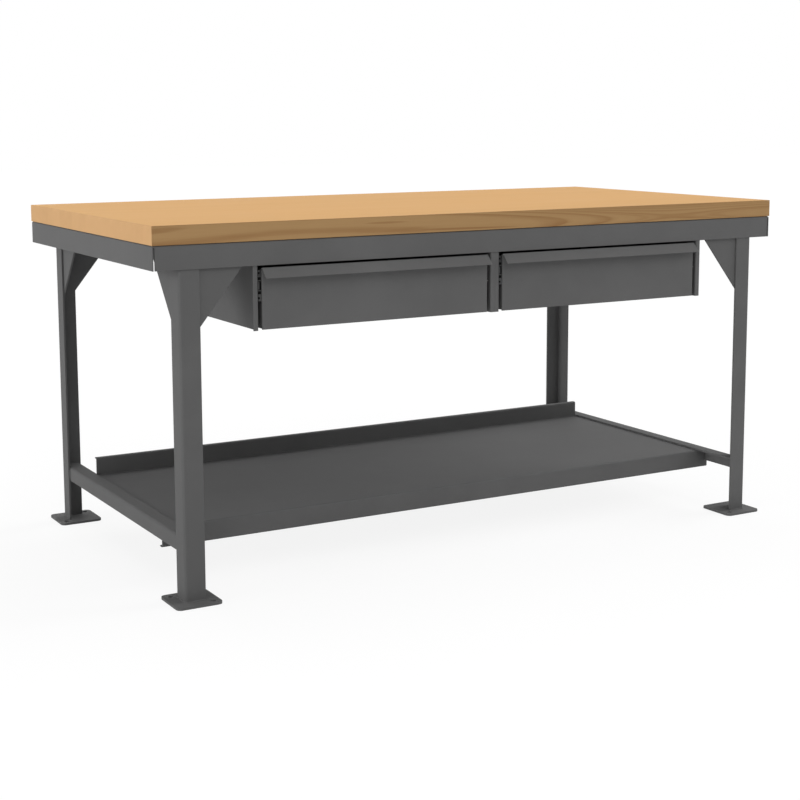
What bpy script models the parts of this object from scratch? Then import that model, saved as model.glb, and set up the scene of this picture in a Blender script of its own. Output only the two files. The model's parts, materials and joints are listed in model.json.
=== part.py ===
"""Heavy-duty workbench with a hardwood top, a lower shelf and two drawers.

The slab lies on a folded steel pan. Four angle legs with gussets and foot plates carry the pan,
a shelf hangs between the side stretchers, and each drawer runs in a bay under the pan on a pair
of three-member telescopic slides.

Metres, +Z up. X runs along the bench, -Y is the front, and the origin is on the floor under the
middle of the bench.
"""

import math

import bmesh
import bpy
from mathutils import Vector

# Fits
SEAT = 0.0003  # gap between two pieces that are fixed to each other
SLIDE_RUN = 0.0004  # gap between two slide members, where the balls roll

# Overall size
TOP_LENGTH = 1.829
TOP_DEPTH = 0.914
BENCH_HEIGHT = 0.883

# Hardwood top
TOP_THICKNESS = 0.0445
TOP_ARRIS = 0.0012

# Pan under the top
PAN_SHEET = 0.0027
PAN_SETBACK = 0.0015  # apron face behind the edge of the top
PAN_BEND = 0.0045  # outer radius of the apron's fold
APRON_HEIGHT = 0.0572
CORNER_SLIT = 0.003

# Legs
LEG_WIDTH = 0.0508
LEG_THICKNESS = 0.0048
LEG_BEND = 0.007  # outer radius of the corner
LEG_END_INSET = 0.0636  # from the end of the top to the leg

# Foot plates
FOOT_WIDTH = 0.1143
FOOT_THICKNESS = 0.006
FOOT_CORNER = 0.0125
FOOT_HOLE = 0.0143
FOOT_HOLE_INSET = 0.019

# Gussets
GUSSET_THICKNESS = 0.0048
GUSSET_DROP = 0.1905  # from the deck down to where the sloping edge meets the leg
GUSSET_REACH = 0.124  # from the leg's edge along the deck
GUSSET_NOSE = 0.035  # upright end under the deck
GUSSET_ROOT_GAP = 0.004  # between the two gussets of a leg
GUSSET_BAY_GAP = 0.0085  # between a gusset and the drawer bay

# Side stretchers
STRETCHER_WIDTH = 0.0381
STRETCHER_THICKNESS = 0.0048
STRETCHER_BEND = 0.0065
STRETCHER_TOP = 0.155  # height of the top face above the floor
STRETCHER_END_GAP = 0.004  # from the inside of a leg

# Lower shelf
SHELF_SHEET = 0.0027
SHELF_BEND = 0.004
SHELF_DEPTH = 0.597
SHELF_FRONT_DROP = 0.0508
SHELF_FRONT_RETURN = 0.016
SHELF_BACK_RISE = 0.047
SHELF_BACK_RETURN = 0.0127
SHELF_END_GAP = 0.003  # from the stretcher's upright flange

# Drawer bays, which fill the space between the face gussets
BAY_SHEET = 0.0019
BAY_BEND = 0.003
BAY_FLANGE = 0.0107  # front flange beyond the panel
BAY_TOP_FLANGE = 0.025
BAY_RELIEF = 0.008  # from the front fold to the top flange
BAY_BELOW_DRAWER = 0.0013
BAY_BACK_GAP = 0.010  # from the slides to the back panel

# Drawer slides
SLIDE_LENGTH = 0.508
RUNNER_END_GAP = 0.009  # from the runner's ends to the ends of the slide
SLIDE_HEIGHT = 0.0762
SLIDE_SPACE = 0.010  # between the bay's panel and the drawer's tray
SLIDE_SHEET = 0.0012
SLIDE_BEND = 0.0018
SLIDE_LIP = 0.006
SLIDE_WEB_GAP = 0.0010  # between neighbouring members, across the slide
SLIDE_SETBACK = 0.004  # behind the front of the bay
SLIDE_OUTER_GAP = 0.014  # from the front of the slide back to its outer member
SLIDE_BELOW_RIM = 0.002  # under the tray's rim

# Drawers
DRAWER_SHEET = 0.0015
DRAWER_BEND = 0.0025
DRAWER_TOP_GAP = 0.006  # between the apron and the front's top fold
DRAWER_FRONT_HEIGHT = 0.1453
DRAWER_RETURN = 0.012  # the front's side and bottom edges folded back
DRAWER_RELIEF = 0.004  # from the front's top fold to its side returns
TRAY_HEIGHT = 0.1397
TRAY_RIM = 0.009  # rim folded inward round the tray's top
LIP_REACH = 0.0229
LIP_FALL = 0.0236

# Facets
ARRIS_STEPS = 2
BEND_STEPS = 3
SLIDE_BEND_STEPS = 2
CORNER_STEPS = 5
HOLE_SIDES = 20
SMOOTH_ANGLE = math.radians(35)
FOLD_ANGLE = math.radians(30)  # edges of a sheet that turn more than this are folds
CUT_MARGIN = 0.005  # how far a cutter runs past what it cuts
MERGE = 0.0001  # corners of a sheet's faces that are one point

# Heights and planes that follow
TOP_UNDERSIDE = BENCH_HEIGHT - TOP_THICKNESS
DECK_TOP = TOP_UNDERSIDE - SEAT
DECK_UNDERSIDE = DECK_TOP - PAN_SHEET
APRON_BOTTOM = TOP_UNDERSIDE - APRON_HEIGHT
PAN_LENGTH = TOP_LENGTH - 2 * PAN_SETBACK
PAN_DEPTH = TOP_DEPTH - 2 * PAN_SETBACK
FRAME_Y = PAN_DEPTH / 2 - PAN_SHEET - SEAT  # faces of the legs and bays, behind the aprons
LEG_X = TOP_LENGTH / 2 - LEG_END_INSET  # outer faces of the legs
HUNG_TOP = DECK_UNDERSIDE - SEAT  # top of what is fixed under the deck

STRETCHER_X = LEG_X - LEG_THICKNESS - SEAT  # outer faces of the stretchers
STRETCHER_INNER_X = STRETCHER_X - STRETCHER_WIDTH
STRETCHER_LENGTH = 2 * (FRAME_Y - LEG_THICKNESS - STRETCHER_END_GAP)
SHELF_TOP = STRETCHER_TOP - STRETCHER_THICKNESS - SEAT
SHELF_LENGTH = 2 * (STRETCHER_X - STRETCHER_THICKNESS - SHELF_END_GAP)
SHELF_FLANGE_LENGTH = 2 * STRETCHER_X  # the front flange runs on under the stretchers

BAY_OUTER_X = LEG_X - LEG_WIDTH - GUSSET_REACH - GUSSET_BAY_GAP
BAY_OPENING = BAY_OUTER_X - SEAT / 2 - 2 * (BAY_SHEET + BAY_FLANGE)
BAY_X = (BAY_OUTER_X + SEAT / 2) / 2  # middle of each bay
BAY_DEPTH = SLIDE_SETBACK + SLIDE_LENGTH + BAY_BACK_GAP + BAY_SHEET
DRAWER_WIDTH = BAY_OPENING - 2 * SLIDE_SPACE
DRAWER_TOP = APRON_BOTTOM - DRAWER_TOP_GAP
DRAWER_BOTTOM = DRAWER_TOP - DRAWER_FRONT_HEIGHT
BAY_BOTTOM = DRAWER_BOTTOM - BAY_BELOW_DRAWER
TRAY_BOTTOM = DRAWER_BOTTOM + DRAWER_SHEET + SEAT
RUNNER_LENGTH = SLIDE_LENGTH - 2 * RUNNER_END_GAP
OUTER_LENGTH = SLIDE_LENGTH - SLIDE_OUTER_GAP
SLIDE_Z = TRAY_BOTTOM + TRAY_HEIGHT - SLIDE_BELOW_RIM - SLIDE_HEIGHT / 2
SLIDE_Y = -FRAME_Y + SLIDE_SETBACK + SLIDE_LENGTH / 2

# Turns that carry a profile drawn in XY, and its length along Z, to where they belong
ALONG_X = (math.pi / 2, 0, math.pi / 2)  # profile X to Y, profile Y to Z
ALONG_Y = (math.pi / 2, 0, 0)  # profile Y to Z
ALONG_Y_TURNED = (math.pi / 2, 0, math.pi)  # the same, facing the other way


def clear_scene():
    """Removes whatever the scene holds."""
    for obj in list(bpy.data.objects):
        bpy.data.objects.remove(obj, do_unlink=True)


def make_material(name, colour, roughness, metallic):
    """A plain Principled material."""
    material = bpy.data.materials.new(name)
    material.use_nodes = True
    shader = material.node_tree.nodes["Principled BSDF"]
    shader.inputs["Base Color"].default_value = (*colour, 1.0)
    shader.inputs["Roughness"].default_value = roughness
    shader.inputs["Metallic"].default_value = metallic
    return material


def add_empty(name, location, turn=0.0):
    """An empty that carries a group of pieces."""
    empty = bpy.data.objects.new(name, None)
    bpy.context.collection.objects.link(empty)
    empty.location = location
    empty.rotation_euler = (0, 0, turn)
    return empty


def add_piece(name, bm, material, location=(0, 0, 0), rotation=(0, 0, 0), parent=None):
    """Turns a bmesh into a named object."""
    bmesh.ops.recalc_face_normals(bm, faces=bm.faces)
    mesh = bpy.data.meshes.new(name)
    bm.to_mesh(mesh)
    bm.free()
    mesh.materials.append(material)
    mesh.shade_smooth()
    mesh.set_sharp_from_angle(angle=SMOOTH_ANGLE)
    obj = bpy.data.objects.new(name, mesh)
    bpy.context.collection.objects.link(obj)
    obj.parent = parent
    obj.location = location
    obj.rotation_euler = rotation
    return obj


def cut(obj, cutter):
    """Takes a hidden cutter out of an object."""
    cutter.hide_render = True
    cutter.display_type = "WIRE"
    modifier = obj.modifiers.new(cutter.name, "BOOLEAN")
    modifier.operation = "DIFFERENCE"
    modifier.solver = "EXACT"
    modifier.object = cutter


def boxes(*corners):
    """Separate boxes in one mesh, each given by its low and high corner."""
    bm = bmesh.new()
    for low, high in corners:
        made = bmesh.ops.create_cube(bm, size=1.0)
        for vert in made["verts"]:
            vert.co = [l + (h - l) * (c + 0.5) for l, h, c in zip(low, high, vert.co)]
    return bm


def round_upper_edges(bm, radius):
    """Rounds the edges round the top of a box."""
    top = max(vert.co.z for vert in bm.verts)
    edges = [e for e in bm.edges if all(abs(v.co.z - top) < MERGE for v in e.verts)]
    bmesh.ops.bevel(
        bm, geom=edges, offset=radius, segments=BEND_STEPS, profile=0.5, affect="EDGES"
    )


def prism(outline, length):
    """An outline in XY carried along Z, with its middle at Z = 0."""
    bm = bmesh.new()
    face = bm.faces.new([bm.verts.new((x, y, -length / 2)) for x, y in outline])
    grown = bmesh.ops.extrude_face_region(bm, geom=[face])
    moved = [item for item in grown["geom"] if isinstance(item, bmesh.types.BMVert)]
    bmesh.ops.translate(bm, verts=moved, vec=(0, 0, length))
    return bm


def rounded_path(points, radius, steps):
    """Points and left normals along a path whose corners are rounded with one radius."""
    points = [Vector(p) for p in points]
    path = []

    def add(point, along):
        path.append((point, Vector((-along.y, along.x))))

    add(points[0], (points[1] - points[0]).normalized())
    for before, corner, after in zip(points, points[1:], points[2:]):
        along_in = (corner - before).normalized()
        along_out = (after - corner).normalized()
        turn = along_in.angle_signed(along_out)  # clockwise turns are positive
        run = radius * math.tan(abs(turn) / 2)
        side = math.copysign(1.0, -turn)
        start = corner - along_in * run
        centre = start + Vector((-along_in.y, along_in.x)) * side * radius
        for step in range(steps + 1):
            angle = -turn * step / steps
            along = Vector(
                (
                    along_in.x * math.cos(angle) - along_in.y * math.sin(angle),
                    along_in.x * math.sin(angle) + along_in.y * math.cos(angle),
                )
            )
            add(centre - Vector((-along.y, along.x)) * side * radius, along)
    add(points[-1], (points[-1] - points[-2]).normalized())
    return path


def folded_strip(points, sheet, outer_radius, steps=BEND_STEPS):
    """The outline of a folded sheet, from the path of its middle line."""
    path = rounded_path(points, outer_radius - sheet / 2, steps)
    left = [point + normal * sheet / 2 for point, normal in path]
    right = [point - normal * sheet / 2 for point, normal in path]
    return left + right[::-1]


def angle_section(width, thickness, outer_radius):
    """An equal angle with its outer corner at the origin and its flanges along +X and +Y."""
    middle = thickness / 2
    path = [(middle, width), (middle, middle), (width, middle)]
    return folded_strip(path, thickness, outer_radius)


def rounded_square(width, radius):
    """A square outline about the origin with round corners."""
    inner = width / 2 - radius
    outline = []
    for quarter in range(4):
        middle = math.pi / 4 + quarter * math.pi / 2
        centre = (
            math.copysign(inner, math.cos(middle)),
            math.copysign(inner, math.sin(middle)),
        )
        for step in range(CORNER_STEPS + 1):
            angle = quarter * math.pi / 2 + step / CORNER_STEPS * math.pi / 2
            outline.append(
                (centre[0] + radius * math.cos(angle), centre[1] + radius * math.sin(angle))
            )
    return outline


def add_sheet(name, faces, sheet, bend, material, parent):
    """A folded sheet from faces that share corners and point to the side where its metal lies."""
    bm = bmesh.new()
    for corners in faces:
        bm.faces.new([bm.verts.new(corner) for corner in corners])
    bmesh.ops.remove_doubles(bm, verts=bm.verts, dist=MERGE)
    mesh = bpy.data.meshes.new(name)
    bm.to_mesh(mesh)
    bm.free()
    mesh.materials.append(material)
    mesh.shade_smooth()
    mesh.set_sharp_from_angle(angle=SMOOTH_ANGLE)
    obj = bpy.data.objects.new(name, mesh)
    bpy.context.collection.objects.link(obj)
    obj.parent = parent
    folds = obj.modifiers.new("folds", "BEVEL")
    folds.width = bend
    folds.segments = BEND_STEPS
    folds.limit_method = "ANGLE"
    folds.angle_limit = FOLD_ANGLE
    solid = obj.modifiers.new("sheet", "SOLIDIFY")
    solid.thickness = sheet
    solid.offset = 1
    solid.use_even_offset = True


def build_top(wood):
    """The hardwood slab with eased edges."""
    low = (-TOP_LENGTH / 2, -TOP_DEPTH / 2, TOP_UNDERSIDE)
    high = (TOP_LENGTH / 2, TOP_DEPTH / 2, BENCH_HEIGHT)
    slab = add_piece("hardwood_top", boxes((low, high)), wood)
    ease = slab.modifiers.new("arris", "BEVEL")
    ease.width = TOP_ARRIS
    ease.segments = ARRIS_STEPS


def build_pan(paint):
    """The pan: a deck with four aprons, open at its corners."""
    x, y = PAN_LENGTH / 2, PAN_DEPTH / 2
    shell = boxes(((-x, -y, APRON_BOTTOM), (x, y, DECK_TOP)))
    round_upper_edges(shell, PAN_BEND)
    pan = add_piece("top_pan", shell, paint)

    inner_x, inner_y = x - PAN_SHEET, y - PAN_SHEET
    hollow = boxes(
        ((-inner_x, -inner_y, APRON_BOTTOM - CUT_MARGIN), (inner_x, inner_y, DECK_UNDERSIDE))
    )
    cut(pan, add_piece("pan_hollow_cutter", hollow, paint))

    slits = []
    slit_top = DECK_TOP - PAN_BEND
    for end in (-1, 1):
        for face in (-1, 1):
            xs = sorted((end * inner_x, end * (inner_x - CORNER_SLIT)))
            ys = sorted((face * (y + CUT_MARGIN), face * (inner_y - CUT_MARGIN)))
            slits.append(
                ((xs[0], ys[0], APRON_BOTTOM - CUT_MARGIN), (xs[1], ys[1], slit_top))
            )
    cut(pan, add_piece("pan_slit_cutter", boxes(*slits), paint))


def gusset_outline():
    """A gusset in a leg's own plane: X away from the leg's corner, Y up from the deck."""
    root = LEG_THICKNESS + GUSSET_THICKNESS + GUSSET_ROOT_GAP
    tip = LEG_WIDTH + GUSSET_REACH
    slope = (GUSSET_DROP - GUSSET_NOSE) / GUSSET_REACH
    foot = -GUSSET_DROP - slope * (LEG_WIDTH - root)
    return [(root, 0), (root, foot), (tip, -GUSSET_NOSE), (tip, 0)]


def build_corner(name, location, quarter_turns, paint):
    """A leg with its foot plate and its two gussets, about the leg's outer corner."""
    corner = add_empty(name + "_corner", location, quarter_turns * math.pi / 2)

    foot_top = FOOT_THICKNESS + SEAT
    section = angle_section(LEG_WIDTH, LEG_THICKNESS, LEG_BEND)
    length = HUNG_TOP - foot_top
    add_piece(
        name + "_leg", prism(section, length), paint, (0, 0, foot_top + length / 2), parent=corner
    )

    middle = (LEG_WIDTH / 2, LEG_WIDTH / 2, FOOT_THICKNESS / 2)
    outline = rounded_square(FOOT_WIDTH, FOOT_CORNER)
    plate = add_piece(
        name + "_foot_plate", prism(outline, FOOT_THICKNESS), paint, middle, parent=corner
    )
    reach = FOOT_WIDTH / 2 - FOOT_HOLE_INSET
    holes = bmesh.new()
    for x, y in ((-reach, reach), (reach, -reach)):
        made = bmesh.ops.create_cone(
            holes,
            cap_ends=True,
            segments=HOLE_SIDES,
            radius1=FOOT_HOLE / 2,
            radius2=FOOT_HOLE / 2,
            depth=FOOT_THICKNESS + 2 * CUT_MARGIN,
        )
        bmesh.ops.translate(holes, verts=made["verts"], vec=(x, y, 0))
    cut(plate, add_piece(name + "_hole_cutter", holes, paint, middle, parent=corner))

    lap = LEG_THICKNESS + SEAT + GUSSET_THICKNESS / 2
    along_x, along_y = ("face", "end") if quarter_turns % 2 == 0 else ("end", "face")
    gusset = gusset_outline()
    add_piece(
        f"{name}_{along_x}_gusset",
        prism(gusset, GUSSET_THICKNESS),
        paint,
        (0, lap, HUNG_TOP),
        ALONG_Y,
        corner,
    )
    add_piece(
        f"{name}_{along_y}_gusset",
        prism(gusset, GUSSET_THICKNESS),
        paint,
        (lap, 0, HUNG_TOP),
        ALONG_X,
        corner,
    )


def build_stretchers(paint):
    """The angles that tie the front and back legs at each end and carry the shelf."""
    middle = STRETCHER_THICKNESS / 2
    path = [(middle, -STRETCHER_WIDTH), (middle, -middle), (STRETCHER_WIDTH, -middle)]
    section = folded_strip(path, STRETCHER_THICKNESS, STRETCHER_BEND)
    for side, end, turn in (("left", -1, ALONG_Y), ("right", 1, ALONG_Y_TURNED)):
        place = (end * STRETCHER_X, 0, STRETCHER_TOP)
        add_piece(side + "_stretcher", prism(section, STRETCHER_LENGTH), paint, place, turn)


def build_shelf(paint):
    """The shelf: one sheet folded down and back at the front, up and back at the back.

    Above the stretchers' lower edges its ends stop inside the stretchers.
    """
    middle = SHELF_SHEET / 2
    front, back = -SHELF_DEPTH / 2, SHELF_DEPTH / 2
    low, high = -SHELF_FRONT_DROP + middle, SHELF_BACK_RISE - middle
    path = [
        (front + SHELF_FRONT_RETURN, low),
        (front + middle, low),
        (front + middle, -middle),
        (back - middle, -middle),
        (back - middle, high),
        (back - SHELF_SHEET + SHELF_BACK_RETURN, high),
    ]
    sheet = prism(folded_strip(path, SHELF_SHEET, SHELF_BEND), SHELF_FLANGE_LENGTH)
    shelf = add_piece("lower_shelf", sheet, paint, (0, 0, SHELF_TOP), ALONG_X)

    far, top = back + SHELF_BACK_RETURN, SHELF_TOP + SHELF_BACK_RISE + CUT_MARGIN
    end_bottom = STRETCHER_TOP - STRETCHER_WIDTH - SEAT
    notch_front, notch_bottom = back - SHELF_BEND - SEAT, SHELF_TOP - SHELF_SHEET - CUT_MARGIN
    notch_inner, notch_outer = STRETCHER_INNER_X - SHELF_END_GAP, SHELF_LENGTH / 2 + CUT_MARGIN
    ends, notches = [], []
    for end in (-1, 1):
        xs = sorted((end * SHELF_LENGTH / 2, end * (STRETCHER_X + CUT_MARGIN)))
        ends.append(((xs[0], front - CUT_MARGIN, end_bottom), (xs[1], far, top)))
        xs = sorted((end * notch_inner, end * notch_outer))
        notches.append(((xs[0], notch_front, notch_bottom), (xs[1], far, top)))
    cut(shelf, add_piece("shelf_end_cutter", boxes(*ends), paint))
    cut(shelf, add_piece("shelf_notch_cutter", boxes(*notches), paint))


def side_panel_faces(hand):
    """A bay's side panel, drawn on the face towards the drawer: web, front flange, top flange."""
    web = hand * BAY_OPENING / 2
    edge = web + hand * (BAY_SHEET + BAY_FLANGE)
    ledge = web - hand * BAY_TOP_FLANGE
    relief, back = BAY_RELIEF, BAY_DEPTH
    rise = HUNG_TOP - BAY_SHEET - BAY_BOTTOM
    faces = [
        [(web, 0, 0), (web, back, 0), (web, back, rise), (web, relief, rise), (web, 0, rise)],
        [(web, 0, 0), (web, 0, rise), (edge, 0, rise), (edge, 0, 0)],
        [(web, relief, rise), (web, back, rise), (ledge, back, rise), (ledge, relief, rise)],
    ]
    return [corners[::hand] for corners in faces]


def build_bay(name, centre_x, paint):
    """A drawer bay: two side panels hung from the deck and a back panel between them."""
    bay = add_empty(name, (centre_x, -FRAME_Y, BAY_BOTTOM))
    for side, hand in (("left", -1), ("right", 1)):
        faces = side_panel_faces(hand)
        add_sheet(f"{name}_{side}_panel", faces, BAY_SHEET, BAY_BEND, paint, bay)

    half = BAY_OPENING / 2 - SEAT
    rise = HUNG_TOP - BAY_SHEET - BAY_BEND - BAY_BOTTOM
    back = boxes(((-half, BAY_DEPTH - BAY_SHEET, 0), (half, BAY_DEPTH, rise)))
    add_piece(name + "_back_panel", back, paint, parent=bay)


def slide_sections():
    """The outlines of a slide's outer, middle and inner member, from the bay's panel (X = 0)."""
    half_sheet = SLIDE_SHEET / 2
    inner_web = SLIDE_SPACE - SEAT - half_sheet
    outer_web = SEAT + half_sheet
    runner_web = outer_web + SLIDE_SHEET + SLIDE_WEB_GAP
    runner_lip = inner_web - SLIDE_SHEET - SLIDE_WEB_GAP
    outer_lip = runner_lip - SLIDE_SHEET
    inner_tip = runner_web + half_sheet + SLIDE_WEB_GAP
    step = SLIDE_SHEET + SLIDE_LIP + SLIDE_RUN
    sections = []
    for web, edge, half, lip in (
        (outer_web, outer_lip, SLIDE_HEIGHT / 2, SLIDE_LIP),
        (runner_web, runner_lip, SLIDE_HEIGHT / 2 - step, SLIDE_LIP),
        (inner_web, inner_tip, SLIDE_HEIGHT / 2 - 2 * step, 0),
    ):
        flange = half - half_sheet
        path = [(edge, flange), (web, flange), (web, -flange), (edge, -flange)]
        if lip:
            tip = half - SLIDE_SHEET - lip
            path = [(edge, tip), *path, (edge, -tip)]
        sections.append(folded_strip(path, SLIDE_SHEET, SLIDE_BEND, SLIDE_BEND_STEPS))
    return sections


def build_slides(name, centre_x, zinc):
    """The pair of telescopic slides of a drawer."""
    members = zip(
        ("outer", "runner", "inner"),
        slide_sections(),
        (OUTER_LENGTH, RUNNER_LENGTH, SLIDE_LENGTH),
        (SLIDE_Y + SLIDE_OUTER_GAP / 2, SLIDE_Y, SLIDE_Y),
    )
    for member, section, length, middle in members:
        for side, hand, turn in (("left", -1, ALONG_Y), ("right", 1, ALONG_Y_TURNED)):
            place = (centre_x + hand * BAY_OPENING / 2, middle, SLIDE_Z)
            add_piece(f"{name}_{side}_slide_{member}", prism(section, length), zinc, place, turn)


def tray_faces():
    """A tray's outer faces, pointing in: floor, sides, back and the rim round its top."""
    x, rim_x = DRAWER_WIDTH / 2, DRAWER_WIDTH / 2 - TRAY_RIM
    front = DRAWER_RETURN + SEAT
    back = SLIDE_SETBACK + SLIDE_LENGTH
    rim_y = back - TRAY_RIM
    low = TRAY_BOTTOM - DRAWER_BOTTOM
    high = low + TRAY_HEIGHT
    return [
        [(-x, front, low), (x, front, low), (x, back, low), (-x, back, low)],
        [(-x, front, low), (-x, back, low), (-x, back, high), (-x, front, high)],
        [(x, front, low), (x, front, high), (x, back, high), (x, back, low)],
        [(-x, back, low), (x, back, low), (x, back, high), (-x, back, high)],
        [(-x, front, high), (-x, back, high), (-rim_x, rim_y, high), (-rim_x, front, high)],
        [(x, front, high), (rim_x, front, high), (rim_x, rim_y, high), (x, back, high)],
        [(-x, back, high), (x, back, high), (rim_x, rim_y, high), (-rim_x, rim_y, high)],
    ]


def front_faces():
    """A front's outer faces, pointing back: panel, pull lip and the mitred returns."""
    x, fold, tip = DRAWER_WIDTH / 2, DRAWER_FRONT_HEIGHT, DRAWER_FRONT_HEIGHT - LIP_FALL
    back, shoulder = DRAWER_RETURN, DRAWER_FRONT_HEIGHT - DRAWER_RELIEF
    return [
        [(-x, 0, 0), (-x, 0, shoulder), (-x, 0, fold), (x, 0, fold), (x, 0, shoulder), (x, 0, 0)],
        [(-x, 0, fold), (-x, -LIP_REACH, tip), (x, -LIP_REACH, tip), (x, 0, fold)],
        [(x, 0, 0), (x - back, back, 0), (-x + back, back, 0), (-x, 0, 0)],
        [(-x, 0, 0), (-x, back, back), (-x, back, shoulder), (-x, 0, shoulder)],
        [(x, 0, shoulder), (x, back, shoulder), (x, back, back), (x, 0, 0)],
    ]


def build_drawer(name, centre_x, paint):
    """A drawer: a tray and a front whose top edge is folded over into the pull lip."""
    drawer = add_empty(name, (centre_x, -FRAME_Y, DRAWER_BOTTOM))
    add_sheet(name + "_front", front_faces(), DRAWER_SHEET, DRAWER_BEND, paint, drawer)
    add_sheet(name + "_tray", tray_faces(), DRAWER_SHEET, DRAWER_BEND, paint, drawer)


def main():
    clear_scene()
    paint = make_material("grey_enamel", (0.105, 0.105, 0.105), 0.5, 0.0)
    wood = make_material("maple", (0.70, 0.42, 0.20), 0.45, 0.0)
    zinc = make_material("zinc_plate", (0.30, 0.305, 0.31), 0.45, 1.0)

    build_top(wood)
    build_pan(paint)
    corners = (
        ("front_left", -1, -1, 0),
        ("front_right", 1, -1, 1),
        ("back_right", 1, 1, 2),
        ("back_left", -1, 1, 3),
    )
    for name, end, face, quarter_turns in corners:
        build_corner(name, (end * LEG_X, face * FRAME_Y, 0), quarter_turns, paint)
    build_stretchers(paint)
    build_shelf(paint)
    for side, end in (("left", -1), ("right", 1)):
        build_bay(side + "_bay", end * BAY_X, paint)
        build_slides(side + "_drawer", end * BAY_X, zinc)
        build_drawer(side + "_drawer", end * BAY_X, paint)


main()
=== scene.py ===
"""The looks of a heavy-duty workbench: a maple slab on an enamelled steel frame with two drawers.

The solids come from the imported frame. This script gives each of them its finish and adds what is too
fine for them: weld beads, the lag screws that hold the slab, and the balls, cages, screws, stop clips,
end caps and catches of the drawer slides.

Metres, +Z up. X runs along the bench, -Y is its front and Z = 0 is the floor.
"""

from __future__ import annotations

import json
import logging
import math
from abc import ABC, abstractmethod
from collections.abc import Mapping, Sequence
from dataclasses import dataclass
from enum import Enum
from functools import partialmethod

import bpy
import numpy as np
from bpy.types import ID, Material, Node, NodeSocket, NodeTree, Object
from mathutils import Matrix, Vector

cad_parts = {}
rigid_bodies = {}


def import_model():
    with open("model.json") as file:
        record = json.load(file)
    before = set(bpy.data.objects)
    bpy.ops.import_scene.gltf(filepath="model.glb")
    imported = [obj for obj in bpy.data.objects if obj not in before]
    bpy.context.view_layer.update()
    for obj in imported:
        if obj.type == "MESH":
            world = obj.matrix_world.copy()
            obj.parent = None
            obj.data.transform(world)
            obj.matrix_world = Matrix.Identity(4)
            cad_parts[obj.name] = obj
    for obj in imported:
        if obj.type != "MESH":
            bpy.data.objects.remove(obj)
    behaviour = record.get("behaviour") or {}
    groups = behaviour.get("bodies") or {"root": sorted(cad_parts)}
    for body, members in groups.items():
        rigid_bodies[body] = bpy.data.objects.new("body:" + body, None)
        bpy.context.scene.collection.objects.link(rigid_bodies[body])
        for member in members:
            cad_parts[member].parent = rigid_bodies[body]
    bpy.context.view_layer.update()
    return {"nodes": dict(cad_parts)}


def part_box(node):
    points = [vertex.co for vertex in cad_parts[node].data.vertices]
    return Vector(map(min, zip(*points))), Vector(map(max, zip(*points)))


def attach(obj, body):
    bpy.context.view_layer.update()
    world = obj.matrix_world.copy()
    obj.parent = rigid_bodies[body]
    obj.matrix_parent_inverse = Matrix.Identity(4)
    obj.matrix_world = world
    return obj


LOG = logging.getLogger("workbench")
SEAT = 0.0003  # gap that the solids keep between two fixed pieces
SMOOTH_BELOW = math.radians(40)  # edges that turn by less than this are shaded smooth
WHITE = (1.0, 1.0, 1.0)
ASIDE = (1.0, 0.0, 0.0)
UP = (0.0, 0.0, 1.0)

Pair = tuple[float, float]
Triple = tuple[float, float, float]
Step = tuple[float, float, float, float]


class Side(Enum):
    """A side of the bench; the value is its sign along X or Y."""

    @property
    def word(self) -> str:
        """The side's name in the pieces' names."""
        return self.name.lower()

    def pick(self, low: float, high: float) -> float:
        """The one of a low and a high value that lies on this side."""
        return low if self.value < 0 else high


class End(Side):
    """An end of the bench, along X."""

    LEFT = -1
    RIGHT = 1


class Face(Side):
    """The front or the back of the bench, along Y."""

    FRONT = -1
    BACK = 1


class Slot(Enum):
    """The names of the record's material slots for the new pieces' finishes."""

    ENAMEL = "grey_enamel"
    ZINC = "zinc_plate"


class Value:
    """A value in a node tree; arithmetic on it adds math nodes to the tree."""

    def __init__(self, tree: Tree, socket: NodeSocket) -> None:
        """Holds the tree and the socket that gives the value."""
        self.tree = tree
        self.socket = socket

    def apply(self, operation: str, other: Feed = 0.0) -> Value:
        """The result of an operation on this value and another one."""
        return self.tree.value("ShaderNodeMath", {0: self, 1: other}, operation=operation)

    __add__ = partialmethod(apply, "ADD")
    __sub__ = partialmethod(apply, "SUBTRACT")
    __mul__ = partialmethod(apply, "MULTIPLY")
    __truediv__ = partialmethod(apply, "DIVIDE")


Feed = Value | float | Sequence[float]
Inputs = Mapping[str | int, Feed]


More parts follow.
